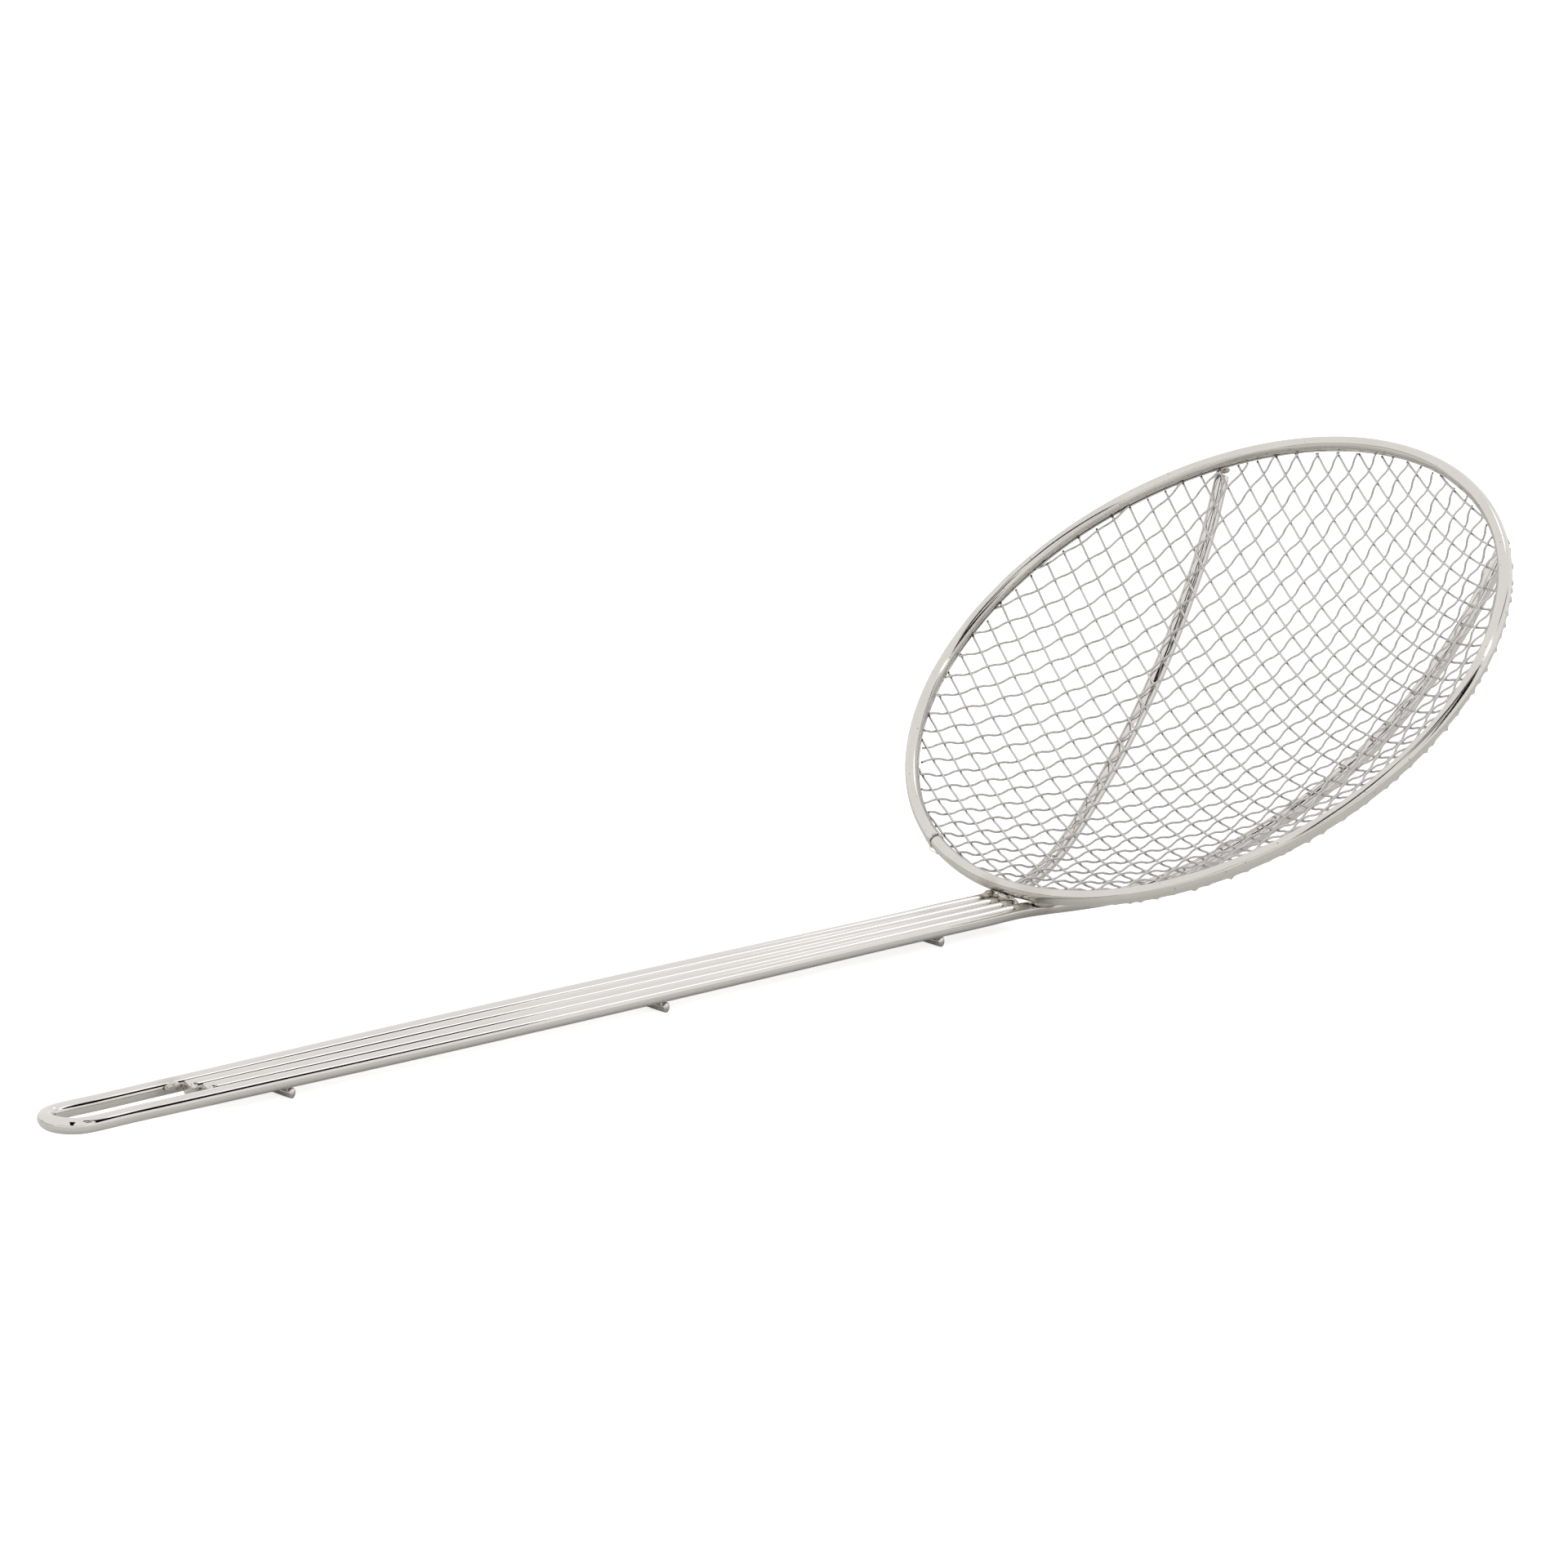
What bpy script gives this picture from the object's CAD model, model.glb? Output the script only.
import bmesh
import bpy
import math
import random
import numpy as np
from mathutils import Matrix, Vector, noise


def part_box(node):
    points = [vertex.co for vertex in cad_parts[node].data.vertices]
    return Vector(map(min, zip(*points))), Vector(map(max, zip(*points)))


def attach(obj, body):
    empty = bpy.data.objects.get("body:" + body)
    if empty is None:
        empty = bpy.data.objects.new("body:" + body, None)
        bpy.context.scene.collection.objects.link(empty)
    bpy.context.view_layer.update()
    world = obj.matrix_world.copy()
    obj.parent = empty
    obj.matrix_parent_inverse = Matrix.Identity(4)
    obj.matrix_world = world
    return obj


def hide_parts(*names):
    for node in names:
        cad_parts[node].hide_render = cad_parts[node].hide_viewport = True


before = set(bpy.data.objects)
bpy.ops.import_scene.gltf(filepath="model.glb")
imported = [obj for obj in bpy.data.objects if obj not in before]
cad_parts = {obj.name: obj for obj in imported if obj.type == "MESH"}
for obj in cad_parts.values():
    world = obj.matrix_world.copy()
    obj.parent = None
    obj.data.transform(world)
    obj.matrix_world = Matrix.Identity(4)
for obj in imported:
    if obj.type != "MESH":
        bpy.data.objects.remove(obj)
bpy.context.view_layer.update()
MM = 0.001

# Mesh skimmer: a hairpin of round rod carries a dished wire mesh in a rolled rim.
# Sizes are millimetres and degrees; those of the plain solids have the names used in their source.

# Rods
ROD_R = 2.38              # 3/16 inch rod of the handle and the ribs
BAR_R = 1.59              # 1/8 inch rod of the short cross bars
HANDLE_REACH = 365.0      # loop tip to the middle of the rim beside the handle
LOOP_HALF_WIDTH = 7.7     # leg centreline off the middle where the loop starts
WAIST_HALF_WIDTH = 9.1    # the same at the widest place of the handle
NECK_HALF_WIDTH = 7.59    # the same where the legs reach the rim
WAIST_PLACE = 0.56        # widest place, as a share of the handle from the rim
NECK_LENGTH = 12.0        # the legs run parallel over this length beside the rim
INNER_ROD_START = 52.0    # loop tip to the cut ends of the inner rods
INNER_ROD_STAGGER = 2.4   # the near inner rod starts this much later
INNER_ROD_OVERRUN = 0.4   # inner rods pass the middle of the rim by this much
BAR_SHARES = (0.222, 0.603, 0.907)     # cross bars, as shares of the handle from the loop tip
BAR_HALF_LENGTHS = (8.6, 9.2, 7.4)     # half the length of each cross bar
BAR_CROP = 1.6            # length of a bar's end that the cutter squeezed
BAR_SQUEEZE = 0.38        # share of the bar's thickness lost at its very end
ROD_ROUNDING = 0.25       # broken edge at the cut end of a rod
BAR_ROUNDING = 0.3        # the same on a cross bar
ROD_SIDES = 32            # flats that draw a rod round, and the same for a bar and a wire
BAR_SIDES = 24
WIRE_SIDES = 8
SEAT = 0.3                # clearance left between round pieces that touch

# Ribs under the bowl
RIB_END_ANGLE = 38.8      # rib ends at the far rim, degrees off the far end
RIB_BOW = 8.2             # ribs bow outward by this much
RIB_CLEARANCE = 0.25      # more room between ribs and mesh
NECK_DROP = 2.4           # the ribs dip under the near rim by this much
# points that the rod's centreline passes: along a rib from the far rim to the neck,
# and along a leg from the neck to the loop, as shares of each
RIB_STEPS = (1.0, 0.92, 0.82, 0.7, 0.57, 0.44, 0.31, 0.2, 0.12)
LEG_SHARES = (0.0055, 0.038, 0.093, 0.219, 0.384, 0.559, 0.712, 0.836, 0.904, 0.945)

# Rim band, rolled from strip
RIM_R = 99.4              # middle of the band
RIM_TILT = 35.1           # between the rim plane and the handle
BAND_WIDTH = 4.4          # rolled band, across
BAND_HEIGHT = 5.2         # rolled band, along the bowl's axis
BAND_SHEET = 0.7          # sheet the band is rolled from
BAND_MOUTH = 21.0         # half the opening that grips the mesh, in degrees of the section
SEAM_ANGLE = 156.1        # band joint, degrees from the far end toward +Y
SEAM_HALF_GAP = 0.35      # half the gap between the strip's two ends
SEAM_LIFT = 0.3           # one end of the strip stands proud
SEAM_LIFT_SHARE = 0.015   # over this share of the strip
BAND_WAVE = 0.05          # unevenness left by the rolls
BAND_WAVE_RATE = 9        # how often it changes along the rim
BUMPS = 38                # wire ends that press the band's underside out
BUMP_FROM = 200.0         # first bump, at the near side of the rim
BUMP_PITCH = 3.1          # degrees from bump to bump
BUMP_SCATTER = 1.2        # degrees that a bump lies off its even place
BUMP_HEIGHTS = (0.15, 0.85)     # lowest and highest
BUMP_WIDTH = 0.65         # from a bump's top to about a third of its height
BUMP_FACING = (0.55, -0.83)     # outward and down: the part of the section that is pressed out
BUMP_FOCUS = 6            # higher for a narrower part
BURR_R = 0.17             # half the thickness of the torn curl at the seam
BURR_STAND = 0.85         # height of the curl
BURR_TURN = 2.5           # length of the curl, in degrees of the rim

# Woven mesh
DISH_DEPTH = 34.2         # rim middle plane to the deepest mesh
MESH_WIRE_DIA = 0.7       # wire of the plain solids, which seats the ribs
WIRE_R = 0.39             # woven wire as drawn here
WIRE_PITCH = 6.42         # wires of one set apart, along the pressed dish
WEAVE_TURN = -22.6        # handle axis to one set of wires
WIRES_EACH_SIDE = 19      # of the middle one, more than the rim takes
MESH_EDGE = 1.7           # the wires end this far inside the middle of the band
# swing of each set in wire radii: one is crimped and the other nearly straight
CRIMP = {"crosswise": 1.65, "lengthwise": -0.35}
CRIMP_STEEPNESS = 1.6     # the wire steps over at a crossing and runs flatter between two

TILT = math.radians(RIM_TILT)
HANDLE_Z = 2 * BAR_R + SEAT + ROD_R
BAND_DROP = math.hypot(BAND_WIDTH / 2 * math.sin(TILT), BAND_HEIGHT / 2 * math.cos(TILT))
RIM_X = RIM_R * math.cos(TILT)
RIM_Z = HANDLE_Z + ROD_R + SEAT + BAND_DROP + RIM_R * math.sin(TILT)
DISH_R = (RIM_R ** 2 + DISH_DEPTH ** 2) / (2 * DISH_DEPTH)
DISH_W = DISH_R - DISH_DEPTH
RIB_SPHERE_R = DISH_R + MESH_WIRE_DIA + SEAT + ROD_R + RIB_CLEARANCE
RIB_UNDER_RIM_W = -(BAND_HEIGHT / 2 + SEAT + ROD_R)
WEAVE_BOW = 0.125 / RIM_R      # the cross wires bow when the cloth is pressed
# the source centres its box on the origin, so the rod's start tells the shift
SHIFT_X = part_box("hairpin_rod")[0].x / MM + HANDLE_REACH
LOOP_START_X = -HANDLE_REACH + ROD_R + LOOP_HALF_WIDTH


# Places on the skimmer
def to_frame(u, v, w):
    """Rim plane (u, v) and bowl axis (w) to the skimmer's own frame, in millimetres."""
    return np.array([RIM_X + SHIFT_X + u * math.cos(TILT) - w * math.sin(TILT), v,
                     RIM_Z + u * math.sin(TILT) + w * math.cos(TILT)])


def on_rim(angle, out, w):
    """A point beside the rim: its angle, its distance from the bowl's axis and its height on it."""
    return to_frame(out * math.cos(angle), out * math.sin(angle), w)


def ease(a, b, t):
    """From a to b while t goes from 0 to 1, with a soft start and a soft end."""
    t = min(max(t, 0.0), 1.0)
    return a + (b - a) * (1 - math.cos(math.pi * t)) / 2


def leg_half_width(x):
    """Leg centreline off the middle plane; x is measured back from the rim."""
    waist_x = -HANDLE_REACH * WAIST_PLACE
    if x > waist_x:
        return ease(NECK_HALF_WIDTH, WAIST_HALF_WIDTH, (x + NECK_LENGTH) / (waist_x + NECK_LENGTH))
    return ease(WAIST_HALF_WIDTH, LOOP_HALF_WIDTH, (x - waist_x) / (LOOP_START_X - waist_x))


def rib_point(t, side):
    """Rib centreline: t runs from the near rim (0) to the far rim (1)."""
    end = math.radians(RIB_END_ANGLE)
    u = -RIM_R + (RIM_R * math.cos(end) + RIM_R) * t
    v = NECK_HALF_WIDTH + (RIM_R * math.sin(end) - NECK_HALF_WIDTH) * t
    v += RIB_BOW * math.sin(math.pi * t)
    w = DISH_W - math.sqrt(RIB_SPHERE_R ** 2 - u * u - v * v)
    near_drop = ease(NECK_DROP, 0.0, (t - 0.12) / 0.3)
    at_rim = DISH_W - math.sqrt(RIB_SPHERE_R ** 2 - RIM_R ** 2)
    far_drop = ease(0.0, at_rim - RIB_UNDER_RIM_W, (t - 0.82) / 0.18)
    return to_frame(u, side * v, w - near_drop - far_drop)


def spline(points, step):
    """Points along the natural cubic curve through the given ones, about step apart."""
    p = np.array(points, float)
    run = np.concatenate([[0], np.cumsum(np.linalg.norm(np.diff(p, axis=0), axis=1))])
    n = len(p)
    h = np.diff(run)
    # one equation per point for the curve's second derivative m, which is nought at both ends
    a = np.zeros((n, n))
    b = np.zeros((n, 3))
    a[0, 0] = a[-1, -1] = 1
    for i in range(1, n - 1):
        a[i, i - 1], a[i, i], a[i, i + 1] = h[i - 1], 2 * (h[i - 1] + h[i]), h[i]
        b[i] = 6 * ((p[i + 1] - p[i]) / h[i] - (p[i] - p[i - 1]) / h[i - 1])
    m = np.linalg.solve(a, b)
    out = []
    for i in range(n - 1):
        parts = max(1, int(math.ceil(h[i] / step)))
        for k in range(parts):
            t = h[i] * k / parts
            left, right = h[i] - t, t
            out.append((m[i] * left ** 3 + m[i + 1] * right ** 3) / (6 * h[i])
                       + (p[i] / h[i] - m[i] * h[i] / 6) * left
                       + (p[i + 1] / h[i] - m[i + 1] * h[i] / 6) * right)
    out.append(p[-1])
    return np.array(out)


# Pieces
def link(name, data):
    """New object in the scene that holds the given mesh, lamp or camera."""
    thing = bpy.data.objects.new(name, data)
    bpy.context.scene.collection.objects.link(thing)
    return thing


def add_piece(name, mesh, material, nodes):
    """Smooth piece that rides on the one body, in place of the plain nodes."""
    for face in mesh.polygons:
        face.use_smooth = True
    mesh.materials.append(material)
    piece = link(name, mesh)
    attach(piece, "root")
    if nodes:
        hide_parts(*nodes)


def new_piece(name, verts, faces, material, nodes=(), slot="plated_rod"):
    """Piece made from millimetre points and their faces."""
    mesh = bpy.data.meshes.new(name)
    mesh.from_pydata([tuple(v) for v in np.array(verts) * MM], [], faces)
    mesh.validate()
    add_piece(name, mesh, material, nodes)


def tube(points, radius, sides, verts, faces, rounding=0.0):
    """Adds a closed round tube along the points; rounding softens its end edges."""
    p = np.array(points, float)
    along = np.gradient(p, axis=0)
    along /= np.linalg.norm(along, axis=1)[:, None]
    up = np.array([0.0, 0.0, 1.0])
    if abs(along[0] @ up) > 0.9:
        up = np.array([0.0, 1.0, 0.0])
    rings = []
    for centre, ahead in zip(p, along):
        up = up - ahead * (up @ ahead)
        up = up / np.linalg.norm(up)
        rings.append((centre, ahead, up, radius))
    if rounding:
        (start, ahead, start_up, _), (end, behind, end_up, _) = rings[0], rings[-1]
        rings[0] = (start + ahead * rounding, ahead, start_up, radius)
        rings[-1] = (end - behind * rounding, behind, end_up, radius)
        rings.insert(0, (start, ahead, start_up, radius - rounding))
        rings.append((end, behind, end_up, radius - rounding))
    base = len(verts)
    for centre, ahead, up, r in rings:
        side = np.cross(ahead, up)
        for k in range(sides):
            turn = 2 * math.pi * k / sides
            verts.append(centre + up * (r * math.cos(turn)) + side * (r * math.sin(turn)))
    for i in range(len(rings) - 1):
        for k in range(sides):
            k2 = (k + 1) % sides
            q = base + i * sides
            faces.append((q + k, q + k2, q + sides + k2, q + sides + k))
    faces.append(tuple(base + k for k in range(sides))[::-1])
    faces.append(tuple(base + (len(rings) - 1) * sides + k for k in range(sides)))


def round_bar(points, radius, sides, rounding=0.0):
    """Points and faces of one tube by itself."""
    verts, faces = [], []
    tube(points, radius, sides, verts, faces, rounding)
    return verts, faces


# Materials
CLOUD_MM = 14             # size of the soft clouds in which the two shades of a metal mix
GRAIN_DEPTH_MM = 0.05     # relief of the grain
TINT_CORE = 0.25          # share of a heat tint's reach that has the full colour
PIT_COLOUR = "#6f6456"
PIT_R_MM = (0.32, 0.18)   # a pit's edge and its dark middle


def linear(hex_colour):
    """sRGB hex to the linear colour that a shader takes."""
    channels = [int(hex_colour[i:i + 2], 16) / 255 for i in (1, 3, 5)]
    return tuple(c / 12.92 if c <= 0.04045 else ((c + 0.055) / 1.055) ** 2.4 for c in channels) + (1.0,)


def add(tree, kind, settings=None, **links):
    """A node with its settings and its input links.

    In a link's name _ stands for a space, and i with a number for the place of the socket.
    """
    node = tree.nodes.new(kind)
    for key, value in (settings or {}).items():
        if isinstance(key, str) and hasattr(node, key):
            setattr(node, key, value)
        else:
            node.inputs[key].default_value = value
    for key, socket in links.items():
        name = int(key[1:]) if key[0] == "i" and key[1:].isdigit() else key.replace("_", " ")
        tree.links.new(socket, node.inputs[name])
    return node


def blank(name):
    """Material with an empty node tree."""
    material = bpy.data.materials.new(name)
    material.use_nodes = True
    material.node_tree.nodes.clear()
    return material, material.node_tree


def metal(name, light, dark, roughness, spread, grain_mm, bump, tints=(), pits_mm=0):
    """Plated metal: two close shades in soft clouds, uneven polish and fine grain.

    tints are heat marks: place, reach, colour and strength. pits_mm is the size of the cells with one
    pit of the plating in each.
    """
    material, tree = blank(name)
    place = add(tree, "ShaderNodeTexCoord").outputs["Object"]
    clouds = add(tree, "ShaderNodeTexNoise", {"Scale": 1 / (CLOUD_MM * MM), "Detail": 3.0},
                 Vector=place).outputs["Fac"]
    grain = add(tree, "ShaderNodeTexNoise", {"Scale": 1 / (grain_mm * MM), "Detail": 2.0},
                Vector=place).outputs["Fac"]
    shade = add(tree, "ShaderNodeMix", {"data_type": "RGBA", 6: linear(dark), 7: linear(light)},
                i0=clouds).outputs[2]
    for at, reach_mm, colour, amount in tints:
        distance = add(tree, "ShaderNodeVectorMath", {"operation": "DISTANCE", 1: tuple(c * MM for c in at)},
                       i0=place).outputs["Value"]
        near = add(tree, "ShaderNodeMapRange",
                   {"From Min": reach_mm * MM, "From Max": reach_mm * TINT_CORE * MM, "To Min": 0.0,
                    "To Max": amount}, Value=distance).outputs["Result"]
        patches = add(tree, "ShaderNodeMapRange", {"From Min": 0.35, "From Max": 0.6},
                      Value=clouds).outputs["Result"]
        patchy = add(tree, "ShaderNodeMath", {"operation": "MULTIPLY"}, i0=near, i1=patches).outputs[0]
        shade = add(tree, "ShaderNodeMix", {"data_type": "RGBA", 7: linear(colour)},
                    i0=patchy, i6=shade).outputs[2]
    if pits_mm:
        cells = add(tree, "ShaderNodeTexVoronoi", {"Scale": 1 / (pits_mm * MM)},
                    Vector=place).outputs["Distance"]
        edge, middle = PIT_R_MM
        pit = add(tree, "ShaderNodeMapRange", {"From Min": edge / pits_mm, "From Max": middle / pits_mm,
                                               "To Max": 0.6}, Value=cells).outputs["Result"]
        shade = add(tree, "ShaderNodeMix", {"data_type": "RGBA", 7: linear(PIT_COLOUR)},
                    i0=pit, i6=shade).outputs[2]
    polish = add(tree, "ShaderNodeMapRange",
                 {"From Min": 0.3, "From Max": 0.7, "To Min": roughness - spread,
                  "To Max": roughness + spread}, Value=grain).outputs["Result"]
    relief = add(tree, "ShaderNodeBump", {"Strength": bump, "Distance": GRAIN_DEPTH_MM * MM},
                 Height=grain).outputs["Normal"]
    shader = add(tree, "ShaderNodeBsdfPrincipled", {"Metallic": 1.0}, Base_Color=shade, Roughness=polish,
                 Normal=relief)
    add(tree, "ShaderNodeOutputMaterial", Surface=shader.outputs["BSDF"])
    return material


# Heat marks beside the neck's two welds and beside the weld at the loop end
NECK_X = SHIFT_X - 3.0
ROD_TOP_Z = HANDLE_Z + ROD_R
NECK_HEAT = [((NECK_X, NECK_HALF_WIDTH - 1, ROD_TOP_Z), 7.0, "#77604a", 0.8),
             ((NECK_X + 8, -NECK_HALF_WIDTH - 3, ROD_TOP_Z), 12.0, "#9c9182", 0.6)]
LOOP_HEAT = [((SHIFT_X - HANDLE_REACH + INNER_ROD_START - 4, 6.0, HANDLE_Z), 6.0, "#8f857c", 0.4)]

# Nickel-plated drawn steel rod: bright and slightly warm, faint drawing grain, straw tint at the welds
nickel_rod = metal("nickel_plated_steel_rod", "#dfdcd8", "#d8d5d0", 0.06, 0.02, 1.2, 0.02,
                   NECK_HEAT + LOOP_HEAT)
# Nickel-plated rolled steel strip: as bright, a softer shine from rolling and a few pits in the plating
nickel_strip = metal("nickel_plated_rolled_strip", "#dddad5", "#d1cdc7", 0.12, 0.03, 0.9, 0.06,
                     NECK_HEAT, 3.0)
# Nickel-plated woven wire: thin, a little darker where the plating is thinner in the crimps
nickel_wire = metal("nickel_plated_woven_wire", "#dad8d6", "#c8c6c3", 0.14, 0.04, 0.7, 0.03)
# Plated weld metal: lumpy and duller than the rod, straw to brown where the neck got hottest
weld_metal = metal("plated_weld_bead", "#d4d0ca", "#b9b3aa", 0.18, 0.06, 0.5, 0.3, NECK_HEAT)
# Bare hoop wire inside the band, never bright
hoop_steel = metal("bare_steel_hoop_wire", "#a8a39c", "#8e8982", 0.4, 0.05, 1.0, 0.1)


# Handle and ribs
def side_points(side):
    """Centreline of one rib and its leg, far rim to the loop."""
    ribs = [rib_point(t, side) for t in RIB_STEPS]
    places = -HANDLE_REACH * np.array(LEG_SHARES)
    return ribs + [np.array([x + SHIFT_X, side * leg_half_width(x), HANDLE_Z]) for x in places]


def hairpin_rod():
    """Rib, leg, loop, leg and rib of the one bent rod."""
    bend = []
    for angle in np.linspace(0, math.pi, 9):
        bend.append(np.array([LOOP_START_X + SHIFT_X - LOOP_HALF_WIDTH * math.sin(angle),
                              LOOP_HALF_WIDTH * math.cos(angle), HANDLE_Z]))
    path = spline(side_points(1) + bend + side_points(-1)[::-1], 2.5)
    new_piece("hairpin_rod_bright", *round_bar(path, ROD_R, ROD_SIDES, ROD_ROUNDING), nickel_rod,
              ["hairpin_rod"])


def inner_rod(name, node, side, start):
    """Rod between the legs, a third of their distance off the middle, with its end cut at start."""
    points = []
    for x in np.linspace(-HANDLE_REACH + INNER_ROD_START + start, INNER_ROD_OVERRUN, 9):
        points.append(np.array([x + SHIFT_X, side * leg_half_width(x) / 3, HANDLE_Z]))
    path = spline(points, 3.0)
    new_piece(name, *round_bar(path, ROD_R, ROD_SIDES, ROD_ROUNDING), nickel_rod, [node])


def cross_bar(name, node, share, half):
    """Bar cropped with side cutters, so each end is a blunt wedge."""
    x = (share - 1) * HANDLE_REACH + SHIFT_X
    points = [np.array([x, y, BAR_R]) for y in np.linspace(-half, half, 9)]
    verts, faces = round_bar(points, BAR_R, BAR_SIDES, BAR_ROUNDING)
    for v in verts:
        reach = abs(v[1]) - (half - BAR_CROP)
        if reach > 0:
            v[0] = x + (v[0] - x) * (1 - BAR_SQUEEZE * min(reach / BAR_CROP, 1.0))
    new_piece(name, verts, faces, nickel_rod, [node])


hairpin_rod()
inner_rod("inner_rod_far_bright", "inner_rod_far", 1, 0.0)
inner_rod("inner_rod_near_bright", "inner_rod_near", -1, INNER_ROD_STAGGER)
for label, share, half in zip(("loop_end", "middle", "bowl_end"), BAR_SHARES, BAR_HALF_LENGTHS):
    cross_bar("cross_bar_%s_cropped" % label, "cross_bar_%s" % label, share, half)


# Woven mesh
def wire_place(number):
    """Plan distance of a wire from the bowl's middle: the wires are even on the pressed dish."""
    return DISH_R * math.sin(number * WIRE_PITCH / DISH_R)


def dish_point(alpha, beta, lift):
    """Point above the dish by lift, from its plan place along the weave's own two directions."""
    turn = math.radians(WEAVE_TURN)
    u = alpha * math.cos(turn) - beta * math.sin(turn)
    v = alpha * math.sin(turn) + beta * math.cos(turn)
    w = DISH_W - math.sqrt(DISH_R ** 2 - alpha * alpha - beta * beta)
    normal = np.array([-u, -v, DISH_W - w]) / DISH_R
    return to_frame(*(np.array([u, v, w]) + normal * lift))


def woven_wires(label):
    """One set of wires, over and under the other set, each cut off where the band takes it."""
    steps = 6
    numbers = range(-WIRES_EACH_SIDE, WIRES_EACH_SIDE + 1)
    verts, faces = [], []
    for number in numbers:
        own = wire_place(number)
        points = []
        for crossed in numbers[:-1]:
            first, last = wire_place(crossed), wire_place(crossed + 1)
            over = 1 if (number + crossed) % 2 else -1
            for k in range(steps):
                t = k / steps
                passed = first + (last - first) * t
                alpha, beta = (passed, own) if label == "crosswise" else (own, passed)
                alpha += WEAVE_BOW * beta * beta
                wave = math.tanh(CRIMP_STEEPNESS * math.cos(math.pi * t)) / math.tanh(CRIMP_STEEPNESS)
                if math.hypot(alpha, beta) <= RIM_R - MESH_EDGE:
                    points.append(dish_point(alpha, beta, wave * over * CRIMP[label] * WIRE_R))
        if len(points) > 4:
            tube(points, WIRE_R, WIRE_SIDES, verts, faces)
    new_piece("woven_wires_" + label, verts, faces, nickel_wire, ["mesh_bowl"], "plated_mesh")


for label in CRIMP:
    woven_wires(label)


# Rim band
def band_section():
    """Open C of sheet around the hoop wire: (outward, up) points, anticlockwise."""
    slope = math.tan(math.asin(RIM_R / DISH_R))      # the mesh runs inward and down into the mouth
    mouth = math.radians(BAND_MOUTH)
    start = math.pi + math.atan(slope * BAND_WIDTH / BAND_HEIGHT) + mouth
    outside, inside = [], []
    for angle in np.linspace(start, start + 2 * math.pi - 2 * mouth, 37):
        c, s = math.cos(angle), math.sin(angle)
        outside.append((BAND_WIDTH / 2 * c, BAND_HEIGHT / 2 * s))
        inside.append(((BAND_WIDTH / 2 - BAND_SHEET) * c, (BAND_HEIGHT / 2 - BAND_SHEET) * s))
    return outside + inside[::-1]


def rim_band():
    """Strip rolled around the mesh's edge, with its seam and the bumps over the wire ends."""
    section = band_section()
    n = len(section)
    steps = 900
    gap = SEAM_HALF_GAP / RIM_R
    random.seed(7)
    bumps = [(math.radians(BUMP_FROM + k * BUMP_PITCH + random.uniform(-BUMP_SCATTER, BUMP_SCATTER)),
              random.uniform(*BUMP_HEIGHTS)) for k in range(BUMPS)]
    verts, faces = [], []
    for i in range(steps + 1):
        along = i / steps
        angle = math.radians(SEAM_ANGLE) + gap + (2 * math.pi - 2 * gap) * along
        lift = SEAM_LIFT * ease(0, 1, (along - 1 + SEAM_LIFT_SHARE) / SEAM_LIFT_SHARE)
        pushed = 0.0
        for place, height in bumps:
            off = (angle - place) % (2 * math.pi)
            off = min(off, 2 * math.pi - off) * RIM_R / BUMP_WIDTH
            if off < 3:      # further off, nothing is left of a bump
                pushed += height * math.exp(-off * off)
        for r, z in section:
            size = math.hypot(r, z)
            facing = max(0.0, (r * BUMP_FACING[0] + z * BUMP_FACING[1]) / size) ** BUMP_FOCUS
            wave = BAND_WAVE * noise.noise(Vector((math.cos(angle) * BAND_WAVE_RATE,
                                                   math.sin(angle) * BAND_WAVE_RATE, z)))
            k = 1 + (lift + wave + pushed * facing) / size
            verts.append(on_rim(angle, RIM_R + r * k, z * k))
    for i in range(steps):
        for k in range(n):
            k2 = (k + 1) % n
            faces.append((i * n + k, i * n + k2, (i + 1) * n + k2, (i + 1) * n + k))
    faces.append(tuple(range(n))[::-1])
    faces.append(tuple(steps * n + k for k in range(n)))
    new_piece("rim_band_rolled", verts, faces, nickel_strip, ["rim_band"], "plated_strip")


def seam_burr():
    """Thin curl torn off the sheet's edge, left standing at the seam."""
    points = []
    for t in np.linspace(0, 1, 9):
        angle = math.radians(SEAM_ANGLE + 0.3 + BURR_TURN * t)
        out = RIM_R + BAND_WIDTH / 2 + 0.1 + BURR_STAND * math.sin(math.pi * min(t * 1.3, 1.0))
        points.append(on_rim(angle, out, 0.9 - 1.4 * t))
    new_piece("seam_burr", *round_bar(points, BURR_R, WIRE_SIDES), nickel_strip, slot="plated_strip")


rim_band()
seam_burr()


# Weld beads
LUMP_HEIGHT = 0.22
LUMPS_PER_MM = 0.9
RIPPLE_HEIGHT = 0.09
RIPPLES_PER_MM = 2.6
BEAD_INSET = 0.06         # the beads are drawn smaller by this much, so that the lumps fit
FLAT_BEAD = 0.25          # outer half of a rib's bead, as a share of the plain one's


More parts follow.
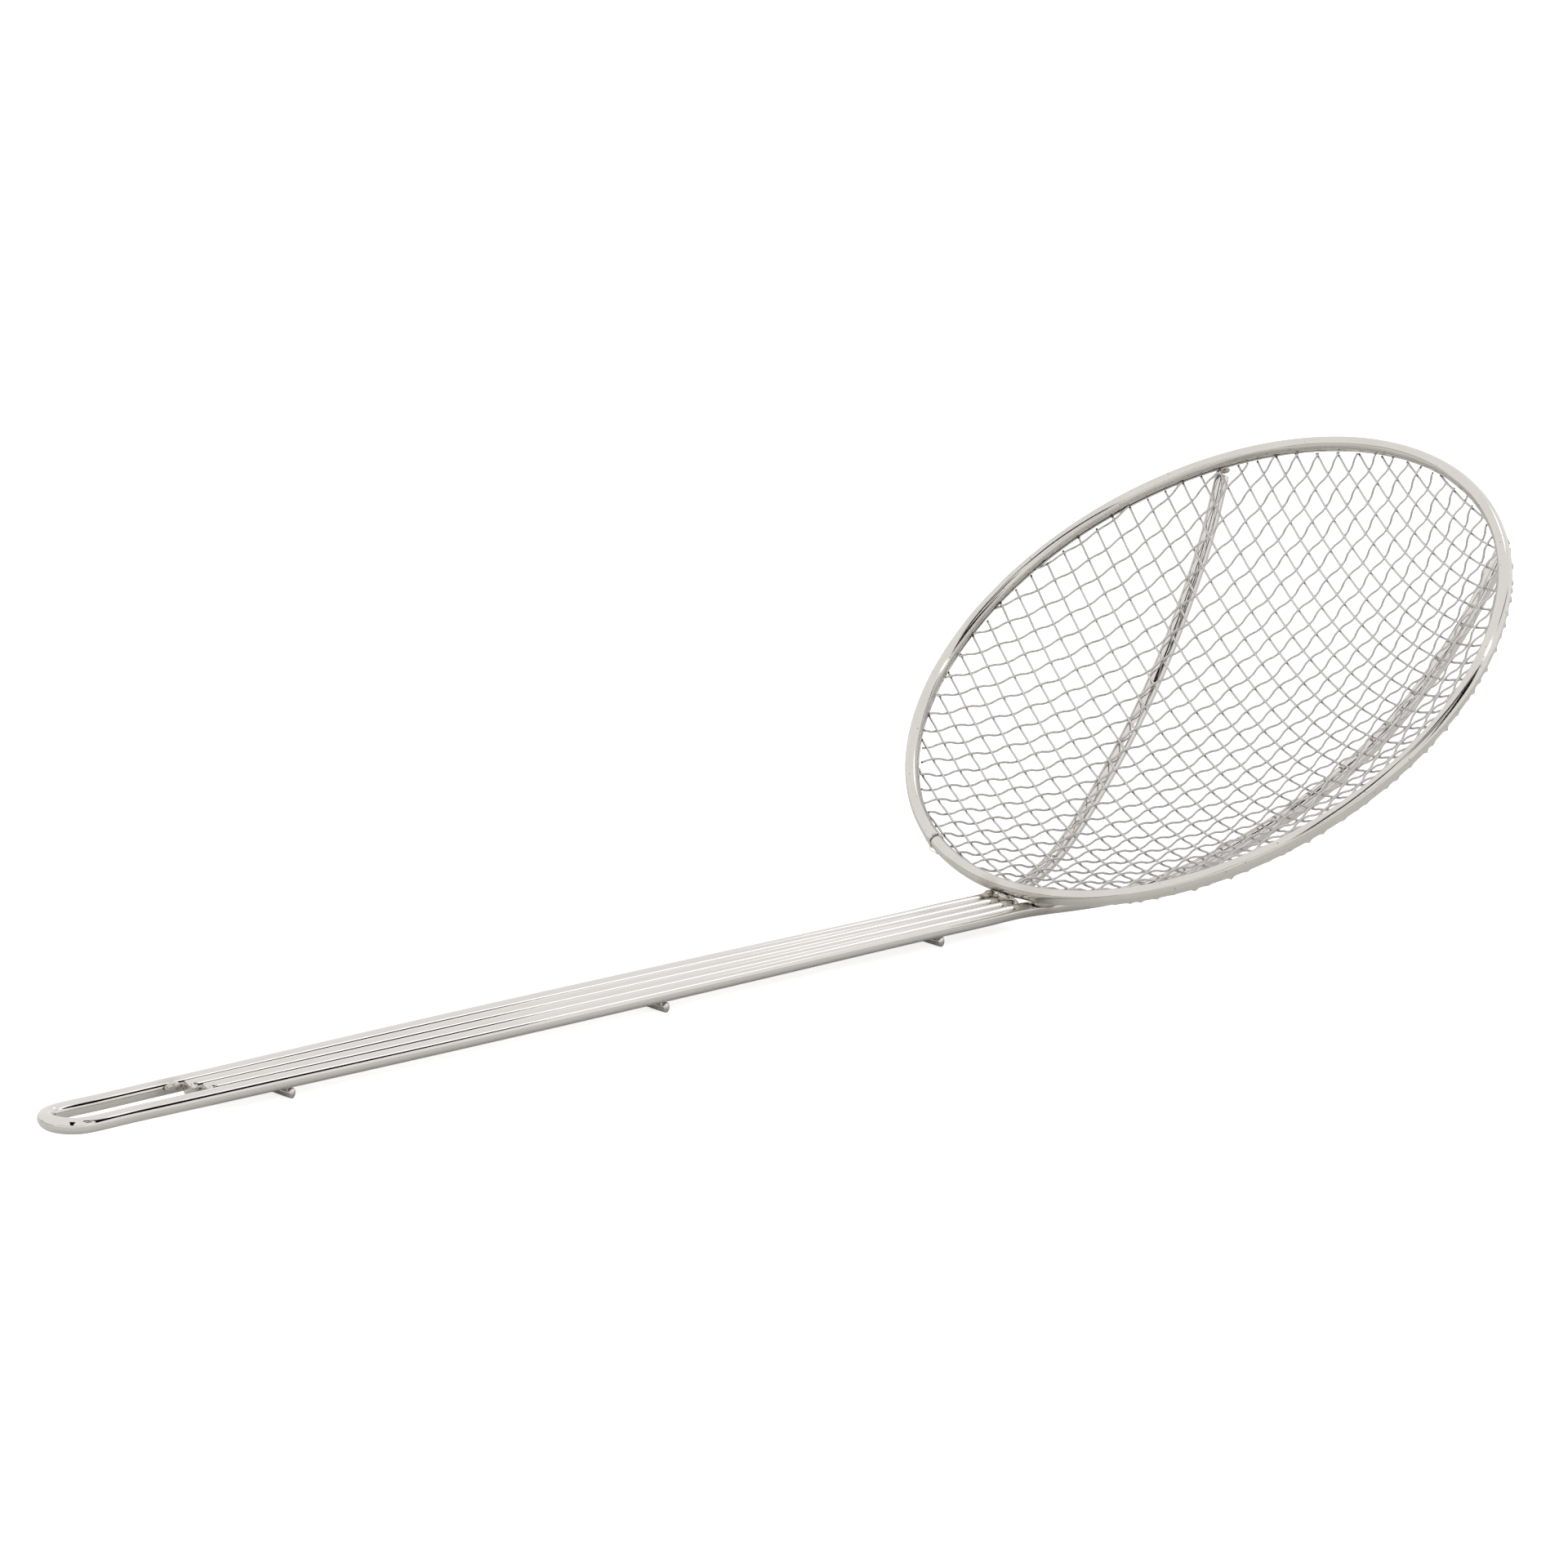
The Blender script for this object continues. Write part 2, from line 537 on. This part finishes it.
def weld(node, seed, outer_half=1.0):
    """The plain bead with the lumps of real weld metal.

    outer_half is what is left of its side away from the bowl, as a share.
    """
    plain_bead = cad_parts[node]
    shape = bmesh.new()
    shape.from_mesh(plain_bead.data)
    shape.transform(plain_bead.matrix_world)
    bmesh.ops.remove_doubles(shape, verts=shape.verts, dist=0.002 * MM)
    shape.normal_update()
    middle = sum((vert.co for vert in shape.verts), Vector()) / len(shape.verts)
    rib_end = math.copysign(math.radians(RIB_END_ANGLE), middle.y)
    outward = Vector(on_rim(rib_end, 1, 0) - to_frame(0, 0, 0))
    for vert in shape.verts:
        at = vert.co / MM
        lump = LUMP_HEIGHT * noise.noise(at * LUMPS_PER_MM + Vector((seed, 0, 0)))
        lump += RIPPLE_HEIGHT * noise.noise(at * RIPPLES_PER_MM)
        vert.co += vert.normal * (lump - BEAD_INSET) * MM
        reach = max(0.0, (vert.co - middle).dot(outward))
        vert.co -= outward * reach * (1 - outer_half)
    mesh = bpy.data.meshes.new(node + "_bead")
    shape.to_mesh(mesh)
    shape.free()
    add_piece(node + "_bead", mesh, weld_metal, [node])


for count, node in enumerate(("weld_leg_far", "weld_leg_near", "weld_inner_rods", "weld_rib_far",
                              "weld_rib_near", "weld_loop_end")):
    # the ribs' beads are flat and hardly seen past the rim
    weld(node, 3.7 * count + 1, FLAT_BEAD if "rib" in node else 1.0)
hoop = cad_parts["rim_hoop"]
hoop.data.materials.clear()
hoop.data.materials.append(hoop_steel)


# Studio
FLOOR_HALF = 6000
FLOOR_COLOUR = "#e9e8e6"
FLOOR_LIFT = 0.75         # the camera sees the floor as white paper, the metal mirrors it a little darker
CARD_BLACK = "#070707"
EDGE_R = 2900             # the studio's dark edges stand this far off


def stage_card(name, corners, hex_colour, lift=0.0):
    """Flat card of the studio; lift brightens it for the camera alone."""
    mesh = bpy.data.meshes.new(name)
    mesh.from_pydata([tuple(c * MM for c in corner) for corner in corners], [], [(0, 1, 2, 3)])
    card = link(name, mesh)
    material, tree = blank(name)
    shader = add(tree, "ShaderNodeBsdfPrincipled",
                 {"Base Color": linear(hex_colour), "Roughness": 0.9, "Specular IOR Level": 0.0,
                  "Emission Color": (1, 1, 1, 1)})
    if lift:
        seen = add(tree, "ShaderNodeLightPath").outputs["Is Camera Ray"]
        glow = add(tree, "ShaderNodeMath", {"operation": "MULTIPLY", 1: lift}, i0=seen).outputs[0]
        tree.links.new(glow, shader.inputs["Emission Strength"])
    add(tree, "ShaderNodeOutputMaterial", Surface=shader.outputs["BSDF"])
    mesh.materials.append(material)


def dark_strip(name, start, end, width, taper=1.0):
    """Long black card: the gap between two soft boxes that bright metal mirrors as a thin line."""
    start, end = Vector(start), Vector(end)
    across = (end - start).cross(start + end).normalized() * width / 2
    corners = [start - across * taper, end - across, end + across, start + across * taper]
    stage_card(name, corners, CARD_BLACK)


def on_edge(degrees, height):
    """A place at the studio's edge."""
    return (EDGE_R * math.cos(math.radians(degrees)), EDGE_R * math.sin(math.radians(degrees)), height)


square = ((-1, -1), (1, -1), (1, 1), (-1, 1))
floor_corners = [(x * FLOOR_HALF, y * FLOOR_HALF, 0) for x, y in square]
stage_card("studio_floor", floor_corners, FLOOR_COLOUR, FLOOR_LIFT)
# each gap stands where the rods, the band or the bowl mirror it toward the camera
dark_strip("soft_box_gap_above", (304, -531, 907), (-33, -330, 980), 320, 0.4)
dark_strip("soft_box_gap_front", (790, -850, 760), (330, -850, 760), 850, 0.3)
dark_strip("soft_box_gap_left", (240, -780, 830), (-40, -740, 830), 200)
dark_strip("camera_side_gap", (-2018, -2051, 1162), (-813, -670, 3035), 740, 0.6)
dark_strip("bowl_side_gap", (640, -330, 560), (900, -200, 500), 60)
for first, last, span, height, width in ((-178, -94, 28, 740, 120), (112, 172, 30, 130, 150)):
    for left in range(first, last, span):
        dark_strip("studio_edge", on_edge(left, height), on_edge(left + span, height), width)

world = bpy.data.worlds.new("studio")
bpy.context.scene.world = world
world.use_nodes = True
world.node_tree.nodes.clear()
sky = add(world.node_tree, "ShaderNodeBackground", {"Color": (1, 1, 1, 1), "Strength": 1.0})
add(world.node_tree, "ShaderNodeOutputWorld", Surface=sky.outputs["Background"])


def soft_box(name, at, size, energy):
    """Lamp that faces the skimmer's middle; its size is in metres."""
    lamp = bpy.data.lights.new(name, "AREA")
    lamp.shape = "RECTANGLE"
    lamp.size, lamp.size_y = size
    lamp.energy = energy
    box = link(name, lamp)
    box.location = Vector(at) * MM
    box.rotation_euler = (-box.location).to_track_quat("-Z", "Y").to_euler()


soft_box("key_soft_box", (1000, 260, 1000), (0.3, 0.2), 0.2)
soft_box("front_soft_box", (700, -560, 880), (0.1, 0.5), 0.15)

# Camera, fitted to the photograph
YAW, PITCH, ROLL = (math.radians(a) for a in (41.6151, 14.7306, 0.8054))
PHOTO_WIDTH_PX = 1920
FOCAL_PX = 10431.07
SENSOR_MM = 36.0
# the rim beside the handle: right, down and ahead of the camera, in rim radii
RIM_FROM_CAMERA = (0.6884, 0.3694, 26.132)


def photo_camera():
    forward = Vector((math.sin(YAW) * math.cos(PITCH), math.cos(YAW) * math.cos(PITCH), -math.sin(PITCH)))
    right = Vector((math.cos(YAW), -math.sin(YAW), 0))
    up = right.cross(forward)
    right, up = (right * math.cos(ROLL) + up * math.sin(ROLL), up * math.cos(ROLL) - right * math.sin(ROLL))
    x, y, z = (c * RIM_R for c in RIM_FROM_CAMERA)
    eye = -(right * x - up * y + forward * z) + Vector((SHIFT_X, 0, HANDLE_Z))
    data = bpy.data.cameras.new("photo_camera")
    data.sensor_width = SENSOR_MM
    data.lens = SENSOR_MM * FOCAL_PX / PHOTO_WIDTH_PX
    data.clip_end = 50
    camera = link("photo_camera", data)
    turn = Matrix((right, up, -forward)).transposed().to_4x4()
    camera.matrix_world = Matrix.Translation(eye * MM) @ turn
    bpy.context.scene.camera = camera


photo_camera()
bpy.context.scene.view_settings.view_transform = "Standard"
